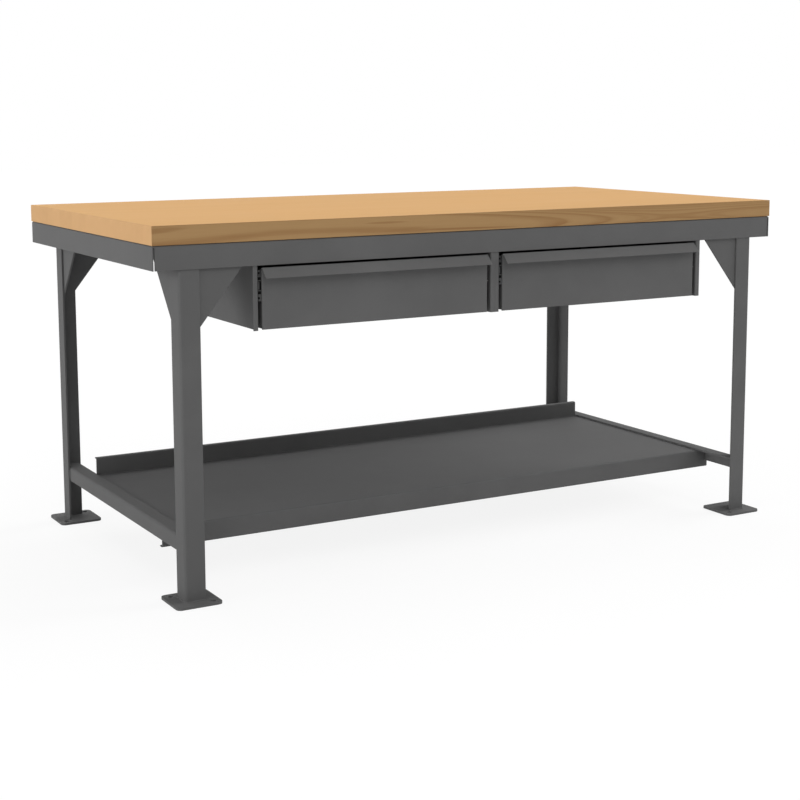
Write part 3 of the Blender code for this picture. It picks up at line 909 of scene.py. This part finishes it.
@dataclass
class Corner(Section):
    """A leg with its foot plate and gussets, and the welds that hold them."""

    end: End
    face: Face
    width: float = 0.0508
    thickness: float = 0.0048
    bend: float = 0.007
    bend_points: int = 9
    gusset: float = 0.0048
    bead: WeldBead = WeldBead()
    root_bead: WeldBead = WeldBead(radius=0.0042, pitch=0.0034)
    tip_gap: float = 0.001  # from the flanges' tips to the foot's beads
    root: float = 0.0022  # from the gussets' faces to the bead between them
    root_ends: Pair = (0.012, 0.006)  # from their lower and upper edges to that bead
    seam_ends: Pair = (0.003, 0.007)  # from the stretcher's lower and upper edges to its upright bead
    lap: Pair = (0.007, 0.036)  # run of the bead on the stretcher, from the leg's end flange
    lap_sink: Pair = (0.002, 0.0015)  # from the other flange, and from the stretcher's top, to that bead

    @property
    def name(self) -> str:
        """The corner's name in the nodes' names."""
        return f"{self.face.word}_{self.end.word}"

    def _world(self, local: np.ndarray | Sequence[Triple]) -> np.ndarray:
        """Carries points from the leg's own corner, with X and Y along its flanges, to the bench.

        Args:
            local: the points.

        Returns:
            The same points on the bench.
        """
        low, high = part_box(self.name + "_leg")
        corner = np.array((self.end.pick(low.x, high.x), self.face.pick(low.y, high.y), 0.0))
        return corner + np.array(local) * (-self.end.value, -self.face.value, 1.0)

    def foot_weld(self) -> Shell:
        """The beads round the leg's foot, on its outer and its inner side.

        Each follows the leg's section: a flange, a quarter circle and the other flange.

        Returns:
            The beads.
        """
        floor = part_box(self.name + "_foot_plate")[1].z
        angle = np.linspace(1.5 * math.pi, math.pi, self.bend_points)
        turn = np.stack((np.cos(angle), np.sin(angle)), axis=1)
        tip = self.width - self.tip_gap
        beads = []
        for radius, offset in ((self.bend, 0.0), (self.bend - self.thickness, self.thickness)):
            arc = offset + radius + radius * turn
            x, y = np.concatenate(([(tip, offset)], arc, [(offset, tip)])).T
            beads.append(self.bead.along(self._world(grid(x, y, floor)), UP))
        return Shell.together(beads)

    def gusset_weld(self) -> Shell:
        """The upright bead in the inner corner where the two gussets meet.

        Returns:
            The bead.
        """
        low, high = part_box(self.name + "_face_gusset")
        root = self.thickness + self.gusset + self.root
        heights = np.linspace(low.z + self.root_ends[0], high.z - self.root_ends[1], 3)
        return self.root_bead.along(self._world(grid(root, root, heights)), ASIDE)

    def stretcher_weld(self) -> Shell:
        """The beads that join the side stretcher to the leg: along the flange's edge and on top.

        Returns:
            The beads.
        """
        low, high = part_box(self.end.word + "_stretcher")
        inner = self.thickness
        heights = (low.z + self.seam_ends[0], high.z - self.seam_ends[1])
        seam = self._world([(inner + SEAT, self.width, z) for z in heights])
        y, z = inner + self.lap_sink[0], high.z - self.lap_sink[1]
        lap = self._world([(inner + x, y, z) for x in self.lap])
        return Shell.together([self.bead.along(seam, ASIDE), self.bead.along(lap, UP)])

    def build(self) -> None:
        """Dresses the corner's nodes and adds its welds."""
        parts = ("leg", "foot_plate", "face_gusset", "end_gusset")
        self.dress([f"{self.name}_{part}" for part in parts], self.finishes.enamel)
        welds = {
            "foot_weld": self.foot_weld(),
            "gusset_weld": self.gusset_weld(),
            "stretcher_weld": self.stretcher_weld(),
        }
        for name, shell in welds.items():
            shell.piece(f"{self.name}_{name}", self.finishes.enamel, "frame", Slot.ENAMEL)


@dataclass
class Shelf(Section):
    """The lower shelf with the two side stretchers it hangs between."""

    sheet: float = 0.0027
    flange: float = 0.0048
    end_gap: float = 0.003
    fill: float = 0.6  # how far into that gap the beads lie, as a share of it
    stitch: float = 0.040
    stitches: int = 4
    inset: Pair = (0.06, 0.08)  # from the shelf's front and back to the middles of the outer stitches
    bead: WeldBead = WeldBead(radius=0.0030)

    def stitch_welds(self, end: End) -> Shell:
        """Short beads under the shelf's end, along the stretcher's upright flange.

        Args:
            end: which end of the shelf.

        Returns:
            The beads.
        """
        low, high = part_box("lower_shelf")
        outer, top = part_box(end.word + "_stretcher")
        x = end.pick(outer.x, top.x) - end.value * (self.flange + self.fill * self.end_gap)
        deck = top.z - self.flange - SEAT - self.sheet
        middles = np.linspace(low.y + self.inset[0], high.y - self.inset[1], self.stitches)
        line = np.array([(x, -self.stitch / 2, deck), (x, self.stitch / 2, deck)])
        return self.bead.along(line, UP).repeated(np.outer(middles, (0.0, 1.0, 0.0)))

    def build(self) -> None:
        """Dresses the shelf and the stretchers and adds the stitch welds."""
        enamel = self.finishes.enamel
        self.dress(["lower_shelf", *(end.word + "_stretcher" for end in End)], enamel)
        for end in End:
            self.stitch_welds(end).piece(end.word + "_shelf_welds", enamel, "frame", Slot.ENAMEL)


@dataclass
class Top(Section):
    """The maple slab on its steel pan, with the lag screws that hold it from below."""

    sheet: float = 0.0027
    screw: LagScrew = LagScrew()
    screw_places: tuple[tuple[tuple[float, ...], tuple[float, ...]], ...] = (
        ((-0.60, -0.20, 0.20, 0.60), (0.15, 0.37)),
        ((-0.76, 0.76), (-0.22, 0.0, 0.22)),
    )  # X and Y of the rows behind the bays, and of the rows at the ends

    def screw_heads(self) -> Shell:
        """The lag screws' heads under the deck.

        Returns:
            The heads with their washers.
        """
        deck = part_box("hardwood_top")[0].z - SEAT - self.sheet
        offsets = [(x, y, deck) for row, column in self.screw_places for y in column for x in row]
        hanging = Matrix.Rotation(math.pi, 3, "X")
        return self.screw.head().turned(hanging).repeated(np.array(offsets))

    def build(self) -> None:
        """Dresses the slab and the pan and adds the screws."""
        self.dress(["hardwood_top"], self.finishes.maple)
        self.dress(["top_pan"], self.finishes.enamel)
        self.screw_heads().piece("top_lag_screws", self.finishes.zinc, "frame", Slot.ZINC)


@dataclass(frozen=True)
class Member:
    """Where a member of a slide lies."""

    near: float  # X nearest the bay's panel
    far: float  # X nearest the drawer
    front: float  # Y
    back: float  # Y
    half: float  # half its height
    middle: float  # height of its middle


@dataclass
class Slide(Section):
    """The small hardware of one telescopic slide: balls, cages, screws, and the stop at its front.

    A plain clip stops the right slides. The left ones end in a black cap behind a toothed catch. Clip,
    cap and catch are near black: painted shade for the dark inside of the slide's front end.
    """

    drawer: End
    hand: End
    sheet: float = 0.0012
    play: float = 0.0001
    cage_sheet: float = 0.0004
    cage_length: float = 0.225
    cage_start: float = 0.012  # behind the outside member's front
    cage_rim: float = 0.002  # beyond the first and the last ball
    ball_space: float = 0.0035
    clip_half: float = 0.0125
    clip_length: float = 0.018
    clip_inset: float = 0.001  # behind the inner member's front
    clip_gap: float = 0.0004  # from the channel's mouth to the web
    cap_half: float = 0.037
    cap_reach: float = 0.0084
    cap_sheet: float = 0.0005
    cap_points: int = 24
    catch_rise: float = 0.0025
    catch_sheet: float = 0.0012
    teeth: tuple[Pair, ...] = (
        *((0.0, 0.0363), (0.0084, 0.0363), (0.0084, 0.0316), (0.0040, 0.0316), (0.0040, 0.0270)),
        *((0.0084, 0.0270), (0.0084, 0.0199), (0.0009, 0.0199), (0.0009, 0.0130), (0.0084, 0.0130)),
    )  # the catch's upper half: distance from the drawer and height above its middle
    bow: tuple[Pair, ...] = (
        *((0.0050, 0.0082), (0.0074, 0.0082), (0.0074, 0.0105), (0.0, 0.0105)),
    )  # the edge of the opening behind its middle, likewise
    screw: PanScrew = PanScrew()
    screw_count: int = 3
    screw_inset: Pair = (0.06, 0.05)  # from the inner member's front and back to the outer screws

    @property
    def name(self) -> str:
        """The slide's name in the nodes' names."""
        return f"{self.drawer.word}_drawer_{self.hand.word}_slide"

    @property
    def way(self) -> int:
        """The sign along X from the bay's panel towards the drawer."""
        return -self.hand.value

    def _member(self, member: str) -> Member:
        """Where one of the members lies.

        Args:
            member: outer, runner or inner.

        Returns:
            Its place.
        """
        low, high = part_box(f"{self.name}_{member}")
        near, far = self.hand.pick(low.x, high.x), self.hand.pick(high.x, low.x)
        return Member(near, far, low.y, high.y, (high.z - low.z) / 2, (high.z + low.z) / 2)

    def race(self, around: str, within: str) -> tuple[Shell, Shell]:
        """The two rows of balls between a member and the one within it, and their cage.

        A ball's radius is half the narrower of two spaces, from web to lip and from member to member,
        less the play.

        Args:
            around: the member outside.
            within: the member inside.

        Returns:
            The balls and the cage.
        """
        outside, inside = self._member(around), self._member(within)
        web, lip = outside.near + self.way * self.sheet, outside.far - self.way * self.sheet
        inner_half = outside.half - self.sheet
        radius = min(abs(lip - web), inner_half - inside.half) / 2 - self.play
        ball_z = (inner_half + inside.half) / 2
        first = outside.front + self.cage_start
        last = first + self.cage_length
        count = int(self.cage_length / (2 * radius + self.ball_space))
        along = np.linspace(first + radius + self.cage_rim, last - radius - self.cage_rim, count)
        heights = outside.middle + np.array([[ball_z], [-ball_z]])
        offsets = grid((web + lip) / 2, along, heights).reshape(-1, 3)
        cage = channel(
            (web + inside.near) / 2 - self.way * self.cage_sheet / 2,
            lip - self.way * 2 * self.play,
            ball_z + self.cage_sheet / 2,
            self.cage_sheet,
            (first, last),
            outside.middle,
        )
        return ball(radius).repeated(offsets), cage

    def screws(self) -> Shell:
        """Pan head screws in the inner member's channel, which hold it to the tray.

        Returns:
            The screws' heads.
        """
        inner = self._member("inner")
        first, last = inner.front + self.screw_inset[0], inner.back - self.screw_inset[1]
        along = np.linspace(first, last, self.screw_count)
        offsets = grid(inner.far - self.way * self.sheet, along, inner.middle)
        facing = Matrix.Rotation(-self.way * math.pi / 2, 3, "Y")
        return self.screw.head().turned(facing).repeated(offsets)

    def clip(self) -> Shell:
        """The folded stop clip in the front end of the inner member's channel.

        Returns:
            The clip.
        """
        inner = self._member("inner")
        front = inner.front + self.clip_inset
        return channel(
            inner.near + self.way * self.clip_gap,
            inner.far - self.way * (self.sheet + self.play),
            self.clip_half,
            self.sheet,
            (front, front + self.clip_length),
            inner.middle,
        )

    def cap(self) -> Shell:
        """The plate that closes the slide's front end, on a plug in the inner member's channel. Its
        near-black finish is painted shade for the dark inside of the slide's end.

        The plate's outline has a quarter circle at each corner.

        Returns:
            The plate and its plug.
        """
        inner = self._member("inner")
        half, radius = self.cap_reach / 2, self.cap_reach / 4
        angle = angles(self.cap_points) + math.pi / self.cap_points
        across, upward = np.cos(angle), np.sin(angle)
        middle = inner.far - self.way * (half + 2 * self.play)
        x = middle + np.sign(across) * (half - radius) + radius * across
        z = inner.middle + self.catch_rise
        z = z + np.sign(upward) * (self.cap_half - radius) + radius * upward
        back = inner.front - self.play
        plate = carried(np.column_stack((x, z)), (back - self.cap_sheet, back))
        return Shell.together([plate, self.clip()])

    def catch(self) -> Shell:
        """The stamped strip before the cap: teeth that point at the panel, with a bow between them.

        The upper half of its outline is mirrored to give the lower one, and both are carried along Y.

        Returns:
            The strip.
        """
        inner = self._member("inner")
        teeth, bow = np.array(self.teeth), np.array(self.bow)
        mirror = np.array((1.0, -1.0))
        outline = np.concatenate((teeth, teeth[::-1] * mirror, bow[::-1] * mirror, bow))
        root = np.array((inner.far - self.way * 2 * self.play, inner.middle + self.catch_rise))
        back = inner.front - 2 * self.play - self.cap_sheet
        return carried(root + outline * (-self.way, 1.0), (back - self.catch_sheet, back))

    def build(self) -> None:
        """Dresses the three members and adds their hardware."""
        zinc, black = self.finishes.zinc, self.finishes.black_zinc
        self.dress([f"{self.name}_{member}" for member in ("outer", "runner", "inner")], zinc)
        runners, drawer = f"{self.drawer.word}_runners", f"{self.drawer.word}_drawer"
        outer_balls, outer_cage = self.race("outer", "runner")
        inner_balls, inner_cage = self.race("runner", "inner")
        pieces = [
            ("outer_balls", outer_balls, "frame", zinc),
            ("outer_cage", outer_cage, "frame", zinc),
            ("inner_balls", inner_balls, runners, zinc),
            ("inner_cage", inner_cage, runners, zinc),
            ("screws", self.screws(), drawer, zinc),
        ]
        # cap, catch and stop clip take the near-black finishes: painted shade in the drawer gaps
        if self.hand is End.LEFT:
            pieces.append(("end_cap", self.cap(), drawer, self.finishes.black_enamel))
            pieces.append(("catch", self.catch(), drawer, black))
        else:
            pieces.append(("stop_clip", self.clip(), drawer, black))
        for name, shell, body, finish in pieces:
            shell.piece(f"{self.name}_{name}", finish, body, Slot.ZINC)


@dataclass
class DrawerBay(Section):
    """A drawer in its bay, with its two slides."""

    end: End

    def build(self) -> None:
        """Dresses the bay and the drawer and builds the slides."""
        parts = ("bay_left_panel", "bay_right_panel", "bay_back_panel", "drawer_front", "drawer_tray")
        self.dress([f"{self.end.word}_{part}" for part in parts], self.finishes.enamel)
        for hand in End:
            Slide(self.nodes, self.finishes, self.end, hand).build()


@dataclass(frozen=True)
class Lamp:
    """A wide soft lamp, far away.

    Azimuth and height give its direction in degrees: azimuth 0 is the bench's front and 90 its left
    end. A white face that looks straight at the lamp shines with its strength.
    """

    name: str
    azimuth: float
    height: float
    strength: float
    spread: float = 38.0

    def build(self) -> None:
        """Hangs the lamp."""
        light = bpy.data.lights.new(self.name, "SUN")
        light.energy = math.pi * self.strength
        light.angle = math.radians(self.spread)
        turn = (math.radians(90.0 - self.height), 0.0, -math.radians(self.azimuth))
        placed(self.name, light).rotation_euler = turn


@dataclass
class Studio:
    """A white studio: floor, sky, wide lamps round the bench, and the camera."""

    lamps: tuple[Lamp, ...] = (
        Lamp("left_lamp", 90.0, 6.0, 0.54),
        Lamp("high_lamp", 180.0, 60.0, 0.17),
        Lamp("back_lamp", 180.0, 6.0, 0.10),
        Lamp("right_lamp", 270.0, 32.0, 0.60),
        Lamp("front_lamp", 0.0, 42.0, 0.21),
    )
    sky: float = 0.35
    floor_half: float = 25.0
    floor_drop: float = 0.0002
    floor_tone: float = 0.87
    floor_shown: float = 0.85
    floor_glow: float = 1.03
    camera_place: Triple = (-2.1398, -3.7100, 1.1390)
    camera_turn: Triple = (29.769, -7.760, -0.176)  # yaw, pitch and roll in degrees
    camera_lens: float = 69.715
    camera_sensor: float = 36.0
    camera_shift: float = -0.10

    @staticmethod
    def _seen(tree: Tree) -> Value:
        """1 for rays that show the backdrop: from the camera, and through gloss and glass.

        Args:
            tree: the tree to add to.

        Returns:
            The mask.
        """
        path = tree.outputs(tree.node("ShaderNodeLightPath"))
        gloss = path["Is Glossy Ray"].apply("MAXIMUM", path["Is Transmission Ray"])
        return path["Is Camera Ray"].apply("MAXIMUM", gloss)

    def build_sky(self) -> None:
        """A sky that lights evenly and shows as white."""
        world = bpy.data.worlds.new("studio_sky")
        world.use_nodes = True
        bpy.context.scene.world = world
        tree = Tree(world.node_tree)
        strength = self._seen(tree) * (1.0 - self.sky) + self.sky
        tree.feed(world.node_tree.nodes["Background"], {"Color": WHITE, "Strength": strength})

    def build_floor(self) -> None:
        """A pale floor that shows as white where it is lit and keeps the bench's shadow."""
        half, z = self.floor_half, -self.floor_drop
        mesh = bpy.data.meshes.new("floor")
        corners = [(-half, -half, z), (half, -half, z), (half, half, z), (-half, half, z)]
        mesh.from_pydata(corners, [], [(0, 1, 2, 3)])
        floor = placed("floor", mesh)
        material, tree, shader = new_surface("pale_floor")
        tone = (self.floor_tone,) * 3
        tree.feed(shader, {"Base Color": tone, "Roughness": 0.9, "Specular IOR Level": 0.0})
        lit = Value(tree, shader.outputs[0])
        glow = tree.value("ShaderNodeEmission", {"Color": WHITE, "Strength": self.floor_glow})
        share = self._seen(tree) * self.floor_shown
        mixed = tree.value("ShaderNodeMixShader", {0: share, 1: lit, 2: glow})
        tree.feed(material.node_tree.nodes["Material Output"], {"Surface": mixed})
        mesh.materials.append(material)

    def build_camera(self) -> None:
        """The camera at the photograph's viewpoint, turned by yaw, pitch and roll."""
        yaw, pitch, roll = map(math.radians, self.camera_turn)
        camera = bpy.data.cameras.new("camera")
        camera.sensor_width = self.camera_sensor
        camera.lens = self.camera_lens
        camera.shift_y = self.camera_shift
        aimed = Matrix.Rotation(-yaw, 4, "Z") @ Matrix.Rotation(math.pi / 2 + pitch, 4, "X")
        turn = aimed @ Matrix.Rotation(roll, 4, "Z")
        held = placed("camera", camera)
        held.matrix_world = Matrix.Translation(self.camera_place) @ turn
        bpy.context.scene.camera = held

    def build(self) -> None:
        """Builds the studio and sets how colours are shown."""
        self.build_sky()
        self.build_floor()
        for lamp in self.lamps:
            lamp.build()
        self.build_camera()
        bpy.context.scene.view_settings.view_transform = "Standard"
        LOG.info("built the studio")


def main() -> None:
    """Builds the bench's looks round the frame and its studio."""
    logging.basicConfig(level=logging.INFO, format="%(name)s: %(message)s")
    bpy.data.batch_remove(list(bpy.data.objects))  # the start-up objects
    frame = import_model()
    nodes = frame["nodes"]
    finishes = Finishes.made()

    sections: list[Section] = [Top(nodes, finishes)]
    sections += [Corner(nodes, finishes, end, face) for face in Face for end in End]
    sections.append(Shelf(nodes, finishes))
    sections += [DrawerBay(nodes, finishes, end) for end in End]
    for section in sections:
        section.build()
    Studio().build()

    bpy.context.view_layer.update()


if __name__ == "__main__":
    main()
